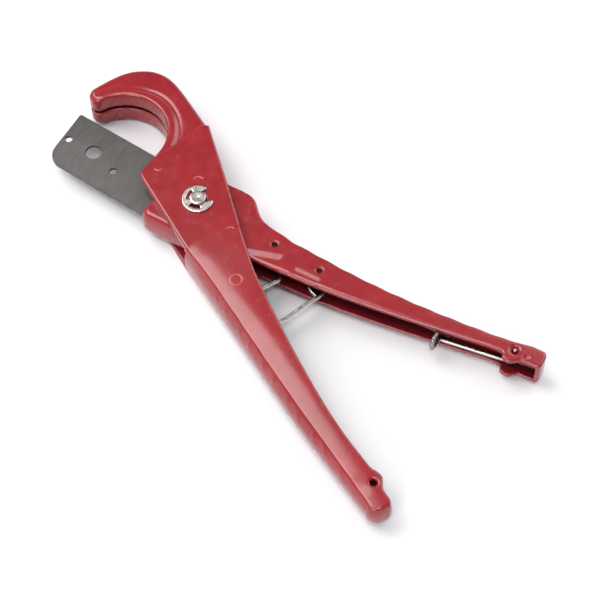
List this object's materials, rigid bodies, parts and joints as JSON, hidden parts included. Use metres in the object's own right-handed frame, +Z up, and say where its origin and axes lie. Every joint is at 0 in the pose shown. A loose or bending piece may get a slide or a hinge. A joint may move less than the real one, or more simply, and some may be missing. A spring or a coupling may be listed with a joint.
{
  "type": "pipe cutter",
  "caption": "Hand pipe cutter: hooked jaw handle with a round throat, pivoting blade handle, replaceable flat blade, wire return spring and wire latch bail.",
  "frame": {"origin": "on the pivot axis, on the flat underside of the jaw handle's head, the plane that the tool lies on", "axes": "+X towards the jaw along the jaw handle's axis, +Y towards the side that the blade comes from, +Z up along the pivot axis"},
  "size_m": [0.2189, 0.1202, 0.0209],
  "materials": {
    "enamel": "glossy red enamel on die-cast aluminium",
    "blade_steel": "ground grey tool steel, oiled",
    "bright_steel": "bright nickel plate",
    "spring_wire": "drawn spring wire, bright plated"
  },
  "bodies": {
    "jaw_side": {"jaw_handle": "enamel", "pivot_pin": "bright_steel", "e_clip": "bright_steel"},
    "blade_side": {"blade_handle": "enamel", "blade": "blade_steel", "blade_pin_front": "bright_steel", "blade_pin_rear": "bright_steel", "spring_pin_front": "bright_steel", "spring_pin_rear": "bright_steel", "return_spring": "spring_wire"},
    "bail": {"latch_bail": "spring_wire"}
  },
  "joints": [
    {"name": "cutting_hinge", "type": "hinge", "parent": "jaw_side", "child": "blade_side", "pos_m": [0, 0, 0.0095], "axis": [0, 0, 1], "range_deg": [-22, 30], "stiffness_Nm_per_rad": 1, "deforming": ["return_spring"]},
    {"name": "bail_hinge", "type": "hinge", "parent": "blade_side", "child": "bail", "pos_m": [-0.11533, -0.07207, 0.0095], "axis": [0, 0, 1], "range_deg": [0, 150]}
  ]
}
